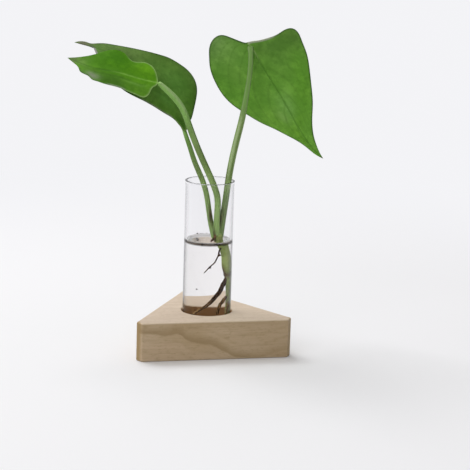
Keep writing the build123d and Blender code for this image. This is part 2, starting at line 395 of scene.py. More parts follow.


# Clear body: a Principled shell with full transmission that lets lamp light straight through,
# with a tone of painted shade where the mesh says so and, for camera rays, painted shade where a wall is seen edge on
def clearMaterial(name, look):
    material, tree, out = newMaterial(name)
    paintedShade, rays = readMask(tree, "paintedShade"), addNode(tree, "ShaderNodeLightPath").outputs
    facing = addNode(tree, "ShaderNodeLayerWeight", {0: .5}).outputs["Facing"]
    # painted shade: darker where a wall is seen edge on, for camera rays only
    edgeOn = times(tree, spread(tree, facing, .4, .8), readMask(tree, "wall"))
    edgeOn = times(tree, edgeOn, rays["Is Camera Ray"])
    tone = mixTone(tree, edgeOn, look["tint"], look["grazing"])
    # painted shade where the mesh marks it
    tone = mixTone(tree, paintedShade, tone, look["paintedShade"])
    shine = mixTone(tree, paintedShade, look["shine"], look["paintedShadeShine"])
    shell = addNode(tree, "ShaderNodeBsdfPrincipled", {"Base Color": tone, "Roughness": 0.0, "IOR": look["ior"],
                                                       "Transmission Weight": 1.0, "Specular Tint": shine})
    through = addNode(tree, "ShaderNodeBsdfTransparent", {0: (.96, .97, .965)})
    depth = mathNode(tree, "MULTIPLY_ADD", paintedShade, 2.0, rays["Ray Depth"])
    spent = mathNode(tree, "GREATER_THAN", depth, 5.5)  # a ray caught between the walls goes straight out
    blendShaders(tree, out, mathNode(tree, "MAXIMUM", rays["Is Shadow Ray"], spent), shell, through)
    return material


def onOuterWall(profile):
    return profile[:, 0] > tube["radius"] - 1e-6


bore = tube["radius"] - tube["wall"]
lipFoot = tube["rim"] - tube["lip"]
glassProfile = roundedProfile(
    [(0, tube["foot"]), (tube["radius"], tube["foot"]), (tube["radius"], lipFoot),
     (tube["radius"] + tube["flare"], tube["rim"]), (bore + tube["flare"], tube["rim"]), (bore, lipFoot),
     (bore, tube["floor"]), (0, tube["floor"])],
    [tube[key] for key in ("footRound", "lipBlend", "rimRound", "rimRound", "lipBlend", "floorRound")], 8, 20)

# The outer wall has close rows where a dark line is painted at the waterline
besideLine = np.abs(glassProfile[:, 1] - water["level"]) < 2
glassProfile = glassProfile[~(onOuterWall(glassProfile) & besideLine)]
row = np.argmax(onOuterWall(glassProfile) & (glassProfile[:, 1] > water["level"]))
waterline = [(tube["radius"], water["level"] + step) for step in np.linspace(-1.2, 1.2, 9)]
glassProfile = np.insert(glassProfile, row, waterline, axis=0)

high = glassProfile[:, 1]
toFront = np.cos(np.radians(tube["front"]) - fullTurn(tube["sides"]))  # 1 on the front wall, -1 on the far one
# painted shade on the lip, greying the rim line
rimShade = np.outer(high > tube["rim"] - .6, .2 + .8 * np.abs(toFront))  # fainter at the rim's two ends
# painted shade where the wall is seen edge on, a little more under the water
wallMask = (.7 + .3 * (high < water["level"])) * (high < tube["rim"] - 1.0) * (high > tube["floor"] + 2)
# painted shade: a dark line round the outer wall at the waterline
wallMask = wallMask + 2.0 * bell(high, water["level"], .6, 4) * onOuterWall(glassProfile)
addPiece("glassTube", turnedSkin(glassProfile, tube["sides"], {"paintedShade": rimShade, "wall": wallMask}),
         clearMaterial("clear glass", tube), "tube", ["glass_tube"])

wet = bore + water["overlap"]
waterFloor = tube["floor"] - water["overlap"]
still = water["level"] - water["hollow"]
edge = still + water["climb"]
lower = roundedProfile([(0, waterFloor), (wet, waterFloor), (wet, still - 2)], [tube["floorRound"]], 10)
wall = np.stack([np.full(22, wet), np.linspace(still - 2, edge, 23)[1:]], -1)
turn = np.radians(np.linspace(0, 90, 16))[1:]  # the meniscus is a quarter round, hollow upwards
meniscus = np.stack([wet - water["climb"] * (1 - np.cos(turn)), edge - water["climb"] * np.sin(turn)], -1)
surface = np.stack([np.linspace(wet - water["climb"], 0, 14)[1:], np.full(13, still)], -1)
waterProfile = np.vstack([lower, wall, meniscus, surface])
reach, high = waterProfile.T
# Painted shade: a dark brown line round the wall at the meniscus, and a darker tone over the open surface
paintedShade = bell(high, still + .36, .92, 4) * (reach > wet - .02)
paintedShade = np.outer(paintedShade, .45 + .55 * soft(toFront, -.8, -.2))  # fainter on the far wall
afloat = len(meniscus) + len(surface)
sides = np.outer(reach[-afloat:] / wet, (1 - np.abs(toFront)) ** 1.5)
paintedShade[-afloat:] = .3 + .5 * sides  # painted shade, light on the open surface, stronger at its sides as seen from the camera
# painted shade where the water's side is seen edge on
wallMask = 1.0 * (high < still - 1) * (high > waterFloor + 2)
addPiece("water", turnedSkin(waterProfile, tube["sides"], {"paintedShade": paintedShade, "wall": wallMask}),
         clearMaterial("water", water), "tube", ["water"])


# Specks: crumbs of the dry sheath, small squashed balls (x, y, z, radius), afloat or held on the wall
specks = {
    "at": [(-4.0, 9.9, 58.3, .5), (-2.2, 10.5, 58.2, .32), (-.9, 10.6, 58.2, .28), (-7.0, -.1, 56.5, .25),
           (-5.2, -9.6, 56.6, .6), (-4.6, 3.2, 56.5, .3), (1.2, 10.6, 58.2, .28), (-7.0, -8.4, 33.2, .5),
           (-8.6, -6.6, 50.5, .2), (-6.0, -8.9, 52.5, .16)],
    "squash": .6, "dark": (.012, .008, .006), "light": (.05, .032, .018),
}


def specksMesh():
    t, a = np.meshgrid(np.linspace(.3, np.pi - .3, 7), fullTurn(12), indexing="ij")
    ball = np.stack([np.sin(t) * np.cos(a), np.sin(t) * np.sin(a), specks["squash"] * np.cos(t)], -1)
    mesh = bmesh.new()
    for x, y, z, r in specks["at"]:
        rough = 1 + .18 * np.sin(3 * a + 5 * x) * np.sin(2 * t + y)
        half = specks["squash"] * r
        one = ringSkin(ball * rough[..., None] * r + (x, y, z), [(x, y, z + half), (x, y, z - half)])
        mesh.from_mesh(one)
        bpy.data.meshes.remove(one)
    whole = bpy.data.meshes.new("waterSpecks")
    mesh.to_mesh(whole)
    mesh.free()
    return whole


def speckMaterial():
    material, tree, out = newMaterial("dry speck")
    crumb = noiseAt(tree, objectPlace(tree), 900.0)
    tone = mixTone(tree, crumb, specks["dark"], specks["light"])
    putOut(tree, out, skinShader(tree, tone, .8, .1))
    return material


addPiece("waterSpecks", specksMesh(), speckMaterial(), "tube", [])


# Cutting: its own frame has X to the right of its front and Y away, and it stands turned about the tube

cutting = {"turn": -13.0, "rimRoom": .4, "leaningRadius": 1.55}


# A point in the bore under water, (shares of the bore, share of the water's depth)
def sunk(across, away, share):
    return (across * bore, away * bore, tube["floor"] + share * (water["level"] - tube["floor"]))


# A point in the bore over the water, (shares of the bore, share of the way to the rim)
def above(across, away, share):
    return (across * bore, away * bore, water["level"] + share * (tube["rim"] - water["level"]))


# Points over the rim, in shares of a stalk's rise
def pastRim(rise, *shares):
    return [(a * rise, b * rise, tube["rim"] + c * rise) for a, b, c in shares]


def turned(points):
    t = np.radians(cutting["turn"])
    x, y, z = np.moveaxis(np.asarray(points, float), -1, 0)
    return np.stack([x * np.cos(t) - y * np.sin(t), x * np.sin(t) + y * np.cos(t), z], -1)


# Limb: a round section carried along a smooth line. shape(u, a) scales the radius at share u and angle a,
# and both ends are domed
def limbMesh(line, radii, steps, sides, shape, wander=None, masks=None):
    at = np.linspace(0, 1, steps)
    length = runAlong(smoothLine(line, at))[-1]
    tipA, tipB = radii[0] / length, radii[-1] / length
    dome = 1 - np.cos(np.linspace(.25, np.pi / 2, 6))
    at = np.concatenate([dome * tipA, np.linspace(tipA, 1 - tipB, steps)[1:-1], 1 - dome[::-1] * tipB])
    path = smoothLine(line, at)
    if wander is not None:
        path = path + wander(at)
    stations = runAlong(np.array(line, float))
    stations = stations / stations[-1]
    r = splineAt(stations, np.array(radii, float)[:, None], at)[:, 0]
    r = r * np.sqrt(np.clip(1 - np.clip(1 - at / tipA, 0, 1) ** 2, 0, 1))
    r = r * np.sqrt(np.clip(1 - np.clip(1 - (1 - at) / tipB, 0, 1) ** 2, 0, 1))
    heading = unit(np.gradient(path, axis=0))
    side = unit(np.cross((0.0, 1.0, 0.0), heading))
    third = np.cross(heading, side)
    a = fullTurn(sides)
    u, v = np.meshgrid(at, a, indexing="ij")
    r = (r[:, None] * shape(u, v))[..., None]
    rings = path[:, None] + r * (np.cos(v)[..., None] * side[:, None] + np.sin(v)[..., None] * third[:, None])
    marks = {key: mask(u, v) for key, mask in (masks or {}).items()}
    ends = path[[0, -1]] + heading[[0, -1]] * np.array([[-.03], [.03]]) * np.array(radii)[[0, -1]][:, None]
    return ringSkin(turned(rings), turned(ends), marks)


def fromAngle(a, centre):
    return np.mod(a - centre + np.pi, 2 * np.pi) - np.pi


# Lean: how far a limb stands to the right of its plain line, (share, mm) pairs joined smoothly
def leaning(pairs):
    at, over = np.array(pairs, float).T
    return lambda u: np.outer(splineAt(at, over[:, None], u)[:, 0], (1, 0, 0))


# Shared plant mottle: two sizes of noise between three tones
def plantMottle():
    group = bpy.data.node_groups.new("plant mottle", "ShaderNodeTree")
    for name, kind in (("Base", "NodeSocketColor"), ("Light", "NodeSocketColor"), ("Dark", "NodeSocketColor"),
                       ("Size", "NodeSocketFloat"), ("Light Share", "NodeSocketFloat"),
                       ("Dark Share", "NodeSocketFloat")):
        group.interface.new_socket(name, in_out="INPUT", socket_type=kind)
    group.interface.new_socket("Color", in_out="OUTPUT", socket_type="NodeSocketColor")
    group.interface.new_socket("Grain", in_out="OUTPUT", socket_type="NodeSocketFloat")
    start, end = addNode(group, "NodeGroupInput"), addNode(group, "NodeGroupOutput")
    place = addNode(group, "ShaderNodeTexCoord").outputs["Object"]
    size = start.outputs["Size"]
    big = noiseAt(group, place, size, 3.0, .55)
    grain = noiseAt(group, place, times(group, size, 7.0), 3.0, .6)
    lit = times(group, spread(group, big, .42, .72), start.outputs["Light Share"])
    shade = times(group, spread(group, grain, .45, .75), start.outputs["Dark Share"])
    tone = mixTone(group, lit, start.outputs["Base"], start.outputs["Light"])
    tone = mixTone(group, shade, tone, start.outputs["Dark"])
    group.links.new(tone, end.inputs["Color"])
    group.links.new(grain, end.inputs["Grain"])
    return group


mottle = plantMottle()


def addMottle(tree, look, size, lightShare, darkShare):
    inputs = {"Base": look["base"], "Light": look["light"], "Dark": look["dark"], "Size": size,
              "Light Share": lightShare, "Dark Share": darkShare}
    node = addNode(tree, "ShaderNodeGroup", inputs, node_tree=mottle)
    return node.outputs["Color"], node.outputs["Grain"]


# Stalk finish: mottled green; the mesh says where it is fresh, shaded, ridged with pale lines or flushed brown
def stalkMaterial(name, look):
    material, tree, out = newMaterial(name)
    tone, grain = addMottle(tree, look, 120.0, .5, .25)
    for mask in ("fresh", "shade", "ridge", "flush"):
        if mask in look:
            tone = mixTone(tree, readMask(tree, mask), tone, look[mask])
    streak = noiseAt(tree, objectPlace(tree, (900, 900, 60)), 1.0, 3.0)
    tone = mixTone(tree, spread(tree, streak, .5, .75, 0.0, .3), tone, look["dark"])
    normal = bumped(tree, mathNode(tree, "ADD", streak, times(tree, grain, .4)), .25, .0003)
    rough = spread(tree, grain, .3, .7, .36, .5)
    skin = skinShader(tree, tone, rough, look["shine"], normal)
    bounces = addNode(tree, "ShaderNodeLightPath").outputs["Ray Depth"]
    stray = mathNode(tree, "GREATER_THAN", bounces, 4.5)  # no mirror images in the glass
    blendShaders(tree, out, stray, skin, addNode(tree, "ShaderNodeBsdfTransparent"))
    return material


stem = {
    "line": [above(.4, -.02, .13), above(.43, -.02, .04), sunk(.49, .01, .93), sunk(.575, .06, .76),
             sunk(.645, .105, .62), sunk(.68, .125, .44), sunk(.69, .13, .25), sunk(.67, .125, .085)],
    "radii": [1.6, 2.3, 2.1, 2.0, 2.1, 1.75, 1.75, 1.7],
    "lean": [(0, 0), (.12, .2), (.25, 1.0), (.4, 1.15), (.6, 1.1), (.8, 1.0), (1, .9)],
    "base": (.24, .31, .085), "light": (.36, .42, .15), "dark": (.12, .16, .04),
    "ridge": (.42, .48, .2), "flush": (.08, .045, .018), "shine": .08,
}


def nodeRings(u, a):
    swell = .1 * bell(u, .47, .012) + .07 * bell(u, .05, .02)
    scar = .3 * bell(u, .36, .1) * np.clip(np.cos(a), 0, 1) ** 2
    return 1 + swell + scar + .02 * np.cos(5 * a + 9 * u)


# The stem and the roots run downwards, so angle 0 is their left side
def stemFlush(u, a):
    node = bell(u, .47, .035)
    crown = .5 * bell(u, .08, .05) * (.5 + .5 * np.cos(a - 5.6))
    streak = bell(u, .41, .06) * bell(fromAngle(a, 5.75), 0, .6)
    return np.clip(.9 * node + crown + streak + .45 * soft(u, .45, .75), 0, 1)


def stemRidge(u, a):
    return .35 * np.clip(np.cos(3 * a + 1), 0, 1) ** 4


stemMesh = limbMesh(stem["line"], stem["radii"], 160, 32, nodeRings, leaning(stem["lean"]),
                    {"ridge": stemRidge, "flush": stemFlush})
addPiece("vineStem", stemMesh, stalkMaterial("stem green", stem), "cutting", ["vine_stem"])

# Stalks. Flush is (share, at, reach, facing) and fresh is (from u, to u)
rimLean = (bore - cutting["rimRoom"] - cutting["leaningRadius"]) / bore  # the right stalk leans on the rim
stalks = {
    "leftFront": {
        "line": [above(.37, -.08, .03), above(.36, -.1, .2), above(.36, -.105, .405), above(.36, -.13, .695),
                 above(.16, -.175, .945)]
        + pastRim(50.4, (-.054, -.06, .165), (-.145, -.079, .369), (-.224, -.099, .573), (-.302, -.129, .756),
                  (-.409, -.159, .887), (-.536, -.179, 1.0)),
        "radius": 1.6, "end": .72, "slim": 0, "flare": 0.0, "flush": [(.95, .03, .03, 3.6)], "fresh": (.5, .82),
        "shade": [(.24, -.2, .38, 4.7, 9), (.18, .19, .38, 4.7, 9), (.38, .36, .64, 4.7, 9), (.32, .56, .76, 4.7, 9),
                  (.25, .6, 1.3, 3.3, .5), (.4, .3, .8, 6.1, .4)],
        "ridge": [(.55, .72, 1.3, 5.5, .6), (.3, .5, .75, 5.4, .25)],
        "lean": [(0, 0), (.5, 0), (1, 0)], "node": "petiole_left_front",
    },
    "leftBack": {
        "line": [above(.31, .04, 0), above(.133, .12, .28), above(-.06, .16, .676), above(-.275, .195, .915)]
        + pastRim(27.1, (-.273, .111, .262), (-.406, .155, .635), (-.472, .221, 1.0)),
        "radius": 1.4, "end": .8, "slim": .14, "flare": .4, "flush": [(.95, .2, .09, 5.1)], "fresh": (.6, .9),
        "shade": [(.36, -.2, .52, 4.7, 9), (.46, .46, .95, 4.7, 9), (.7, .86, 1.3, 5.6, .7)],
        "ridge": [(.5, .84, 1.3, 3.6, .5), (.35, .4, .9, 5.7, .3)],
        "lean": [(0, -.3), (.1, -.5), (.36, -.5), (.5, 0), (.7, -.05), (.82, -.15), (.9, -.9), (1, -2)],
        "node": "petiole_left_back",
    },
    "right": {
        "line": [above(.5, .06, -.01), above(.6, .07, .22), above(.725, .05, .57), above(rimLean, 0, .95)]
        + pastRim(69.4, (.153, 0, .118), (.184, 0, .32), (.216, 0, .513), (.245, 0, .733), (.261, 0, .929),
                  (.259, .014, 1.0)),
        "radius": 1.68, "end": .95, "slim": .24, "flare": .5,
        "flush": [(.95, .1, .06, 3.7), (.6, .33, .05, 3.2), (.25, .16, .1, 4.7)], "fresh": (.6, .74),
        "shade": [(.62, -.2, .32, 4.7, 9), (.14, .24, .44, 4.7, 9), (.36, .58, 1.3, 4.7, 9), (.5, .28, .66, 5.15, .3),
                  (.3, -.2, 1.3, 3.3, .3)],
        "ridge": [(.9, .28, .68, 4.3, .36), (.8, .28, .7, 6.0, .3), (.3, .6, 1.3, 5.5, .3), (.25, .6, 1.3, 3.9, .3)],
        "lean": [(0, -.1), (.08, -.3), (.16, -.35), (.26, -.2), (.35, -.2), (.5, .25), (.62, .85), (.75, 1.0),
                 (.88, 1.0), (.95, .6), (1, .3)],
        "node": "petiole_right",
    },
}
stalkLook = {
    "base": (.31, .46, .155), "light": (.43, .58, .25), "dark": (.12, .2, .045), "shine": .1,
    "fresh": (.28, .56, .13), "shade": (.06, .11, .022), "ridge": (.5, .63, .34), "flush": (.045, .024, .01),
}
stalkGreen = stalkMaterial("stalk green", stalkLook)


def grooved(u, a):
    return 1 - .1 * bell(fromAngle(a, 4.5), 0, .35) + .015 * np.cos(7 * a)


# Streaks: (share, from u, to u, facing, width in angle) along a stalk, summed; a width of 9 goes all round
def streaks(marks, u, a):
    total = 0
    for share, low, high, facing, width in marks:
        run = soft(u, low, low + .1) * (1 - soft(u, high - .1, high))
        total = total + share * run * bell(fromAngle(a, facing), 0, width)
    return np.clip(total, 0, .85)


for key, stalk in stalks.items():
    line, r = stalk["line"], stalk["radius"]
    radii = [r * 1.12, r * 1.04] + [r] * (len(line) - 3) + [r * stalk["end"]]
    masks = {
        "fresh": lambda u, a: .85 * soft(u, *stalk["fresh"]),
        "shade": lambda u, a: streaks(stalk["shade"], u, a),
        "ridge": lambda u, a: streaks(stalk["ridge"], u, a),
        "flush": lambda u, a: sum(share * bell(u, at, reach) * bell(fromAngle(a, facing), 0, .9)
                                  for share, at, reach, facing in stalk["flush"]),
    }

    def shape(u, a):
        slim = 1 - stalk["slim"] * soft(u, .55, .85)
        return grooved(u, a) * slim * (1 + stalk["flare"] * soft(u, .955, 1.0) * np.cos(a) ** 2)

    name = "stalk" + key[0].upper() + key[1:]
    addPiece(name, limbMesh(line, radii, 220, 32, shape, leaning(stalk["lean"]), masks),
             stalkGreen, "cutting", [stalk["node"]])


# Roots and the dry sheath. Pale is (share, from u)
roots = {
    "rootMain": {"line": [sunk(.62, .08, .62), sunk(.495, 0, .53), sunk(.37, -.06, .44), sunk(.07, -.14, .316),
                          sunk(-.23, -.185, .24), sunk(-.55, -.195, .17), sunk(-.725, -.105, .115)],
                 "radii": [1.05, 1.02, .96, .86, .64, .48, .3], "node": "root_main", "pale": (.85, .5),
                 "lean": [(0, 1.2), (.1, 1.2), (.3, .9), (.5, .8), (.7, .5), (1, .2)], "nubs": []},
    "rootUpper": {"line": [sunk(.46, -.035, .95), sunk(.4, -.18, .907), sunk(.32, -.23, .83), sunk(.23, -.25, .76),
                           sunk(.07, -.265, .7), sunk(-.115, -.265, .645)],
                  "radii": [.38, .36, .32, .29, .26, .2], "node": "root_upper", "pale": (0, 0),
                  "lean": [(0, .4), (.3, .4), (.5, .35), (.75, -.4), (1, -.05)], "nubs": [.34, .76]},
    "rootLowerA": {"line": [sunk(.665, .055, .38), sunk(.585, -.07, .327), sunk(.495, -.14, .264),
                            sunk(.435, -.175, .18)],
                   "radii": [.84, .8, .72, .56], "node": "root_lower_a", "pale": (.36, -.3),
                   "lean": [(0, .5), (.4, -.35), (1, -.6)], "nubs": []},
    "rootLowerB": {"line": [sunk(.672, .035, .316), sunk(.655, -.14, .253), sunk(.62, -.23, .18)],
                   "radii": [.72, .64, .48], "node": "root_lower_b", "pale": (.36, -.3),
                   "lean": [(0, 1.2), (.5, 1.5), (1, 1.6)], "nubs": []},
}
rootLook = {"base": (.034, .014, .005), "light": (.08, .036, .012), "dark": (.012, .005, .002),
            "pale": (.42, .255, .11)}


# Root finish: dark brown, going to tan where the mesh says so
def rootMaterial(look):
    material, tree, out = newMaterial("root brown")
    tone, grain = addMottle(tree, look, 260.0, .6, .6)
    tone = mixTone(tree, readMask(tree, "pale"), tone, look["pale"])
    normal = bumped(tree, grain, .5, .0004)
    putOut(tree, out, skinShader(tree, tone, .6, 0.0, normal))
    return material


rootBrown = rootMaterial(rootLook)
for name, root in roots.items():
    (share, start), over = root["pale"], leaning(root["lean"])

    def knobbly(u, a):
        nubs = sum(2.6 * bell(u, nub, .025) for nub in root["nubs"]) * np.clip(-np.cos(a), 0, 1) ** 3
        return 1 + .07 * np.sin(31 * u + 2 * np.cos(a)) + .05 * np.sin(67 * u + 1.7) + nubs

    def drift(u):
        fade = np.sin(np.pi * np.clip(u, 0, 1))[:, None]
        return over(u) + fade * np.stack([.1 * np.sin(23 * u), .1 * np.cos(19 * u), .06 * np.sin(29 * u)], -1)

    paling = lambda u, a: share * np.clip((u - start) / .4, 0, 1) * (.6 + .4 * np.sin(2 * a + 20 * u))
    addPiece(name, limbMesh(root["line"], root["radii"], 110, 18, knobbly, drift, {"pale": paling}),
             rootBrown, "cutting", [root["node"]])

sheath = {"line": [above(.33, -.17, .1), above(.24, -.22, .025), above(.1, -.25, -.02)], "radii": [.9, .8, .5]}
addPiece("drySheath", limbMesh(sheath["line"], sheath["radii"], 50, 20,
                               lambda u, a: 1 - .25 * np.cos(a) ** 2 + .08 * np.sin(5 * a + 8 * u),
                               masks={"pale": lambda u, a: .22 * bell(u, .2, .25)}),
         rootBrown, "cutting", ["dry_sheath"])


# Leaf blades. A blade's own frame has X from the stalk's end to the tip and Z out of its upper side;
# its outline is in shares of its length

leaves = {
    "leafLeftFront": {
        "node": "leaf_left_front", "base": (0, 0), "grow": .1, "slot": "leaf_bright", "length": 47.0,
        "stalk": "leftFront", "along": (-.97, .07, .23), "facing": (.15, -.55, .82), "arch": .032, "fold": .12,
        "droop": .47,
        "left": [(.011, .058), (.034, .102), (.044, .182), (.06, .251), (.096, .288), (.173, .291), (.263, .285),
                 (.347, .268), (.427, .261), (.524, .264), (.612, .263), (.661, .26), (.712, .225), (.764, .206),
                 (.815, .178), (.852, .118), (.923, .06)],
        "right": [(.028, -.069), (.069, -.152), (.134, -.214), (.209, -.23), (.272, -.206), (.33, -.197), (.389, -.235),
                  (.451, -.285), (.515, -.299), (.579, -.278), (.655, -.223), (.726, -.156), (.813, -.082),
                  (.904, -.032)],
        "mid": [(.141, .034), (.288, .045), (.447, .05), (.575, .07), (.667, .08), (.824, .055)],
    },
    "leafLeftBack": {
        "node": "leaf_left_back", "base": (0, 0), "grow": .1, "slot": "leaf_dark", "length": 71.0, "stalk": "leftBack",
        "along": (-.82, .1, .56), "facing": (.34, -.7, .63), "arch": .127, "fold": .12, "droop": .43,
        "left": [(-.022, .03), (-.008, .055), (.023, .054), (.05, .054), (.077, .054), (.125, .066), (.163, .083),
                 (.262, .119), (.348, .147), (.45, .172), (.563, .167), (.7, .096), (.819, .02), (.875, -.027),
                 (.9, -.037), (.93, -.0345), (.965, -.021)],
        "right": [(-.001, -.055), (.027, -.138), (.065, -.226), (.106, -.294), (.165, -.339), (.238, -.353),
                  (.317, -.338), (.395, -.31), (.468, -.266), (.577, -.207), (.671, -.163), (.762, -.121),
                  (.845, -.078), (.9, -.042), (.926, -.04), (.969, -.028)],
        "mid": [(.1, -.03), (.3, -.055), (.5, -.055), (.7, -.035), (.85, -.022)],
    },
    "leafRight": {
        "node": "leaf_right", "base": (-.026, -.004), "grow": .4, "slot": "leaf_under", "length": 73.0,
        "stalk": "right", "along": (.55, .21, -.81), "facing": (.3, .85, .42), "arch": .034, "fold": .1, "droop": .29,
        "left": [(-.027, .008), (-.033, .021), (-.049, .038), (-.075, .06), (-.101, .081), (-.148, .128), (-.149, .196),
                 (-.104, .269), (-.034, .324), (.046, .374), (.136, .404), (.25, .417), (.351, .404), (.433, .374),
                 (.508, .339), (.593, .29), (.671, .226), (.746, .166), (.817, .11), (.889, .069), (.953, .038)],
        "right": [(-.024, -.015), (-.018, -.036), (-.006, -.073), (.006, -.142), (.01, -.223), (-.001, -.295),
                  (.01, -.358), (.046, -.376), (.124, -.362), (.221, -.336), (.346, -.276), (.467, -.212),
                  (.589, -.149), (.703, -.076), (.801, -.026), (.871, -.005), (.954, .004)],
        "mid": [(.055, -.004), (.19, .013), (.337, .023), (.483, .03), (.657, .043), (.767, .046), (.914, .029)],
    },
}


# Leaf colours: a ground tone, then soft zones (s, v, reach in s, reach in v, tone, share) laid on one after another,
# side veins, the midrib (tone near the stalk, tone near the tip), the thin margin,
# and hems (side, from s, to s, tone, share). Some zones, hems and a midrib tone are painted light or shade, as noted
leafLooks = {
    "leafLeftFront": {
        "ground": (.072, .228, .005), "rough": .5, "shine": .04,
        # painted shade: the near half darker at (.5, .7), and dark crease lines at (.72, .25) and (.5, .32)
        "zones": [(.22, -.6, .16, .5, (.105, .3, .008), .8), (.52, -.6, .15, .5, (.047, .182, .002), .85),
                  (.5, .7, .2, .45, (.052, .135, .014), .75), (.22, .75, .13, .4, (.105, .26, .022), .7),
                  (.72, .25, .1, .25, (.055, .14, .012), .6), (.86, -.2, .07, .7, (.125, .25, .045), .7),
                  # painted reflection: the grey patch at (.69, .72) stands in for the leaf's sheen
                  (.95, 0, .05, 2, (.17, .22, .09), .75), (.69, .72, .06, .24, (.25, .285, .195), .8),
                  (.3, .42, .12, .07, (.14, .31, .05), .55), (.5, .32, .22, .05, (.045, .125, .01), .5)],
        # the midrib's tip tone, dark, is painted shade in its crease
        "vein": (.055, .17, .01), "veinShare": .1, "rib": ((.18, .38, .055), (.045, .13, .01)), "ribShare": .75,
        "ribTurn": .52, "margin": (.3, .44, .17), "marginShare": .6, "marginEnd": .5,
        # the first hem, pale grey along the near margin, is a painted reflection
        "hems": [(1, .38, .58, (.27, .32, .22), .6), (1, .7, .86, (.06, .085, .04), .5)],
    },
    "leafLeftBack": {
        "ground": (.103, .242, .03), "rough": .46, "shine": .1,
        "zones": [(.72, -.5, .22, .9, (.108, .192, .046), .75), (.3, -.55, .14, .22, (.085, .225, .025), .6),
                  (.32, -.34, .16, .35, (.135, .335, .055), .55), (.1, .1, .08, .5, (.115, .23, .035), .5),
                  # painted shade: the dark zone at (.08, .75), on the base's near side under the front leaf
                  (.08, .75, .07, .5, (.05, .145, .014), .7), (.2, -.95, .25, .12, (.06, .135, .02), .5),
                  (.27, .25, .09, .25, (.135, .335, .06), .5), (.95, 0, .05, 2, (.13, .115, .075), .9)],
        "vein": (.06, .15, .018), "veinShare": .15, "rib": ((.1, .22, .04), (.07, .16, .02)), "ribShare": .3,
        "ribTurn": .5, "margin": (.045, .08, .028), "marginShare": .7, "marginEnd": 1.0,
        # the first hem, a pale strip along the near margin by the front leaf, is a painted glint
        "hems": [(1, .15, .42, (.26, .31, .19), .55), (1, -.02, .17, (.25, .4, .11), .65),
                 (1, .8, .91, (.4, .37, .39), .8)],
    },
    "leafRight": {
        "ground": (.16, .405, .044), "rough": .5, "shine": .1,
        # painted light: the brighter yellow-green zones at (.6, -.04), (.67, .28), (.36, .56) and (.66, .5) stand in
        # for lamp light shining through the blade
        "zones": [(.18, .72, .14, .4, (.205, .415, .085), .7), (.42, .75, .1, .3, (.095, .285, .022), .6),
                  (.2, -.5, .2, .48, (.1, .235, .036), .75), (.28, -.88, .09, .25, (.075, .155, .03), .6),
                  (.16, .95, .12, .18, (.16, .29, .09), .5), (.6, -.04, .1, .24, (.235, .5, .105), .8),
                  (.67, .28, .05, .15, (.28, .52, .125), .8), (.72, -.22, .06, .32, (.108, .305, .022), .75),
                  (.59, -.8, .1, .16, (.115, .3, .026), .6), (.14, -.23, .06, .2, (.1, .235, .032), .6),
                  (.36, .56, .08, .2, (.205, .445, .066), .65), (.5, -.72, .18, .2, (.13, .37, .026), .6),
                  (.82, .28, .09, .35, (.125, .335, .022), .65), (.59, -.52, .1, .3, (.122, .335, .026), .6),
                  (.66, .5, .08, .2, (.2, .47, .05), .5), (0, 0, .022, 2, (.3, .43, .17), .75),
                  (.99, 0, .012, 2, (.12, .09, .05), .8)],
        "vein": (.095, .25, .026), "veinShare": .45, "rib": ((.3, .47, .14), (.075, .22, .018)), "ribShare": .8,
        "ribTurn": .17, "margin": (.035, .08, .018), "marginShare": .9, "marginEnd": 1.0,
        "hems": [(-1, -.02, .17, (.42, .47, .33), .95)],
    },
}


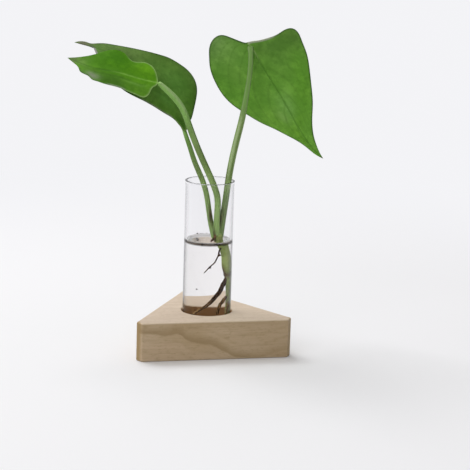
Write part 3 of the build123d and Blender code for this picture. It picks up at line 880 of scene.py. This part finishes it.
# Blade: P(s, v) runs from the midrib at v = 0 to a margin at v = +-1, s from stalk to tip. Height over the
# blade's plane is an arch in x, a fold and a droop in y, a groove on the midrib and a wave that grows to the margin.
# The lower skin lies one thickness under it, with the midrib and the side veins raised
def bladeMesh(leaf, look, rows=230, half=64):
    size = leaf["length"]
    s = np.linspace(0, 1, rows)[1:-1]
    left = smoothLine([leaf["base"]] + leaf["left"] + [(1, 0)], s) * size
    right = smoothLine([leaf["base"]] + leaf["right"] + [(1, 0)], s) * size
    mid = smoothLine([leaf["base"]] + leaf["mid"] + [(1, 0)], s ** 1.15) * size
    v = np.sin(np.linspace(-1, 1, 2 * half + 1) * np.pi / 2)
    v = .5 * v + .5 * np.linspace(-1, 1, 2 * half + 1)
    w = np.abs(v)[None, :, None]
    flank = np.where(v[None, :, None] > 0, left[:, None], right[:, None])
    span = flank - mid[:, None]
    wide = np.linalg.norm(span, axis=-1)
    flank = flank + leaf["grow"] * span / np.maximum(wide, 3)[..., None]
    plane = mid[:, None] * (1 - w) + flank * w
    x, y = plane[..., 0], plane[..., 1]
    crease = .04 * size
    z = 4 * leaf["arch"] * x * (1 - x / size) + leaf["fold"] * (np.sqrt(y * y + crease**2) - crease)
    z = z - leaf["droop"] * y * y / size
    fromMid = np.abs(v)[None] * wide
    finer = np.linspace(0, rows - 3, 2 * rows)
    edges = [[np.interp(finer, np.arange(rows - 2), flank[:, k, c]) for c in (0, 1)] for k in (0, -1)]
    edgeLine = np.hstack(edges).T
    fromRim = np.stack([np.linalg.norm(row[:, None] - edgeLine, axis=-1).min(1) for row in plane])
    ss, vv = np.repeat(s[:, None], len(v), 1), np.repeat(v[None], len(s), 0)
    rib = bell(fromMid, 0, .75 - .4 * ss)
    phase = 5.5 * (ss - .8 * np.abs(vv) ** 1.35) + .35 * (vv > 0)
    vein = np.abs(np.mod(phase, 1) - .5) * 2
    vein = bell(vein, 0, .15) * (1 - .8 * vv**2) * np.clip(fromMid / 2, 0, 1)
    wave = .35 * np.abs(vv) ** 3 * np.sin(17 * ss + 2.0 * np.sign(vv)) * np.sin(np.pi * ss)
    wave = wave * np.clip(wide / 6, 0, 1)
    thick = .05 + .2 * np.sqrt(np.clip(1 - np.abs(vv) ** 8, 0, 1)) * np.clip(wide / 3, .15, 1)
    top = z + wave - .1 * rib * (1 - .5 * ss) - .012 * vein
    under = z + wave - 2 * thick - .55 * rib * (1 - .6 * ss) * np.clip(wide / 3, 0, 1) - .02 * vein
    upper, lower = np.stack([x, y, top], -1), np.stack([x, y, under], -1)
    rings = np.concatenate([upper, lower[:, ::-1]], 1)

    tint = np.ones_like(ss)[..., None] * look["ground"]

    def lay(tone, share):
        return tint * (1 - share[..., None]) + np.asarray(tone) * share[..., None]

    for sAt, vAt, sReach, vReach, tone, share in look["zones"]:
        tint = lay(tone, share * bell(ss, sAt, sReach) * bell(vv, vAt, vReach))
    tint = lay(look["vein"], look["veinShare"] * vein)
    turn = soft(ss, look["ribTurn"] - .08, look["ribTurn"] + .08)[..., None]
    ribTone = np.array(look["rib"][0]) * (1 - turn) + np.array(look["rib"][1]) * turn
    tint = lay(ribTone, look["ribShare"] * bell(fromMid, 0, .55) * (1 - .3 * ss))
    rim = bell(fromRim, 0, .6) * (1 - soft(ss, look["marginEnd"] - .15, look["marginEnd"]))
    tint = lay(look["margin"], look["marginShare"] * rim)
    for sign, hemStart, hemEnd, tone, share in look["hems"]:
        hem = soft(ss, hemStart, hemStart + .02) * (1 - soft(ss, hemEnd - .06, hemEnd)) * (sign * vv > 0)
        tint = lay(tone, share * hem * bell(fromRim, 0, .9, 4))
    masks = {"tint": np.concatenate([tint, tint[:, ::-1]], 1)}

    zAxis, along = unit(np.array(leaf["facing"])), np.array(leaf["along"])
    xAxis = unit(along - zAxis * (along @ zAxis))
    axes = np.stack([xAxis, np.cross(zAxis, xAxis), zAxis])
    origin = np.array(stalks[leaf["stalk"]]["line"][-1])
    poles = np.array([(leaf["base"][0] * size, leaf["base"][1] * size, -.2), (size, 0, -.1)])
    return ringSkin(turned(rings @ axes + origin), turned(poles @ axes + origin), masks)


# Leaf finish: the colours carried by the mesh, gently mottled, under a satin skin
def leafMaterial(name, look):
    material, tree, out = newMaterial(name)
    tint = addNode(tree, "ShaderNodeAttribute", attribute_name="tint").outputs["Color"]
    place = objectPlace(tree)
    cloud, grain = noiseAt(tree, place, 130.0, 3.0, .6), noiseAt(tree, place, 420.0, 3.0, .6)
    lit = mixTone(tree, 1.0, tint, (1.34, 1.24, 1.4), "MULTIPLY")
    shaded = mixTone(tree, 1.0, tint, (.72, .76, .7), "MULTIPLY")
    tone = mixTone(tree, spread(tree, cloud, .4, .66), tint, lit)
    tone = mixTone(tree, spread(tree, grain, .42, .72, 0.0, .5), tone, shaded)
    normal = bumped(tree, grain, .15, .0003)
    rough = spread(tree, grain, .3, .7, look["rough"] - .05, look["rough"] + .07)
    putOut(tree, out, skinShader(tree, tone, rough, look["shine"], normal))
    return material


for name, leaf in leaves.items():
    look = leafLooks[name]
    addPiece(name, bladeMesh(leaf, look), leafMaterial(name, look), "cutting", [leaf["node"]])


# Floor, light and camera

studio = {
    "floorReach": 4.0, "wallRise": 2.0, "floorSides": 96,
    "pool": (.9, .9, .925), "away": (.6, .6, .62), "floorLit": (.5, .5, .5),
    "sky": (1.0, .985, .96), "skyLevel": .42,
    "keyPlace": (-.35, .55, 1.35), "keySize": .9, "keyPower": 14.0,
    "fillPlace": (-.9, -1.1, .7), "fillSize": 1.0, "fillPower": 7.0, "aim": (0, 0, .09),
}


# What the camera and clear or glossy bodies see is one tone, what lights the object is another
def seenDirectly(tree):
    path = addNode(tree, "ShaderNodeLightPath").outputs
    seen = mathNode(tree, "MAXIMUM", path["Is Camera Ray"], path["Is Glossy Ray"])
    return mathNode(tree, "MAXIMUM", seen, path["Is Transmission Ray"])


# Floor: a flat disc whose outer part rises as (t - 1) squared into a wall all round
def floorGrid():
    n = studio["floorSides"]
    t = np.concatenate([np.linspace(.02, 1, 20), np.linspace(1, 2, 20)[1:]])
    a = fullTurn(n)
    r = np.where(t < 1, t, 1 + (t - 1) * .5) * studio["floorReach"]
    z = np.clip(t - 1, 0, None) ** 2 * studio["wallRise"]
    points = np.stack([np.outer(r, np.cos(a)), np.outer(r, np.sin(a)), np.outer(z, np.ones(n))], -1)
    i, j = np.arange(len(t) - 1)[:, None] * n, np.arange(n)[None]
    k = (j + 1) % n
    quads = np.stack([i + j, i + n + j, i + n + k, i + k], -1).reshape(-1, 4)
    middle = np.stack([np.full(n, len(t) * n), j[0], k[0]], -1)
    mesh = bpy.data.meshes.new("floor")
    mesh.from_pydata(points.reshape(-1, 3).tolist() + [(0, 0, 0)], [], quads.tolist() + middle.tolist())
    mesh.shade_smooth()
    return mesh


# The camera finds the floor bright; clear and glossy bodies find it darker on the camera's side
def floorMaterial():
    material, tree, out = newMaterial("pale floor")
    place = addNode(tree, "ShaderNodeTexCoord").outputs["Object"]
    x, y, z = addNode(tree, "ShaderNodeSeparateXYZ", {0: place}).outputs
    across = mathNode(tree, "ABSOLUTE", mathNode(tree, "SUBTRACT", x, times(tree, y, .229)))
    pool = times(tree, spread(tree, y, -.42, -.2), spread(tree, across, .5, 1.2, 1.0, 0.0))
    pool = mathNode(tree, "MAXIMUM", pool, addNode(tree, "ShaderNodeLightPath").outputs["Is Camera Ray"])
    tone = mixTone(tree, pool, studio["away"], studio["pool"])
    seen = seenDirectly(tree)
    base = mixTone(tree, seen, studio["floorLit"], tone)
    plain = skinShader(tree, base, .8, .1)
    glow = addNode(tree, "ShaderNodeEmission", {0: tone, 1: 1.0})
    distance = addNode(tree, "ShaderNodeVectorMath", {0: place}, operation="LENGTH").outputs["Value"]
    blendShaders(tree, out, times(tree, seen, spread(tree, distance, .12, .5)), plain, glow)
    return material


floor = addObject("floor", floorGrid())
floor.data.materials.append(floorMaterial())

world = bpy.data.worlds.new("studio")
bpy.context.scene.world = world
world.use_nodes = True
tree = world.node_tree
tree.nodes.clear()
lit = addNode(tree, "ShaderNodeBackground", {0: studio["sky"], 1: studio["skyLevel"]})
addNode(tree, "ShaderNodeOutputWorld", {0: lit.outputs[0]})


def setAxes(thing, right, up, back, place):
    pose = np.eye(4)
    pose[:3, :3] = np.stack([right, up, back], -1)
    pose[:3, 3] = place
    thing.matrix_world = Matrix(pose.tolist())


def addLamp(name, place, size, power):
    data = bpy.data.lights.new(name, "AREA")
    data.shape = "SQUARE"
    data.size = size
    data.energy = power
    back = unit(np.array(place) - np.array(studio["aim"]))
    side = unit(np.cross((0, 0, 1), back))
    setAxes(addObject(name, data), side, np.cross(back, side), back, place)


for lamp in ("key", "fill"):
    addLamp(lamp + "Lamp", studio[lamp + "Place"], studio[lamp + "Size"], studio[lamp + "Power"])

view = {
    "place": (-.186882, -.876169, .2542), "lens": 136.88, "sensor": 36.0, "clipEnd": 50.0,
    "right": (.97572, -.21698, .02981), "up": (.0176, .21337, .97681), "ahead": (.21831, .95257, -.21201),
}
camera = addObject("camera", bpy.data.cameras.new("camera"))
camera.data.sensor_width = view["sensor"]
camera.data.lens = view["lens"]
camera.data.clip_end = view["clipEnd"]
setAxes(camera, view["right"], view["up"], -np.array(view["ahead"]), view["place"])
bpy.context.scene.camera = camera
bpy.context.scene.view_settings.view_transform = "Standard"
print("stage set")
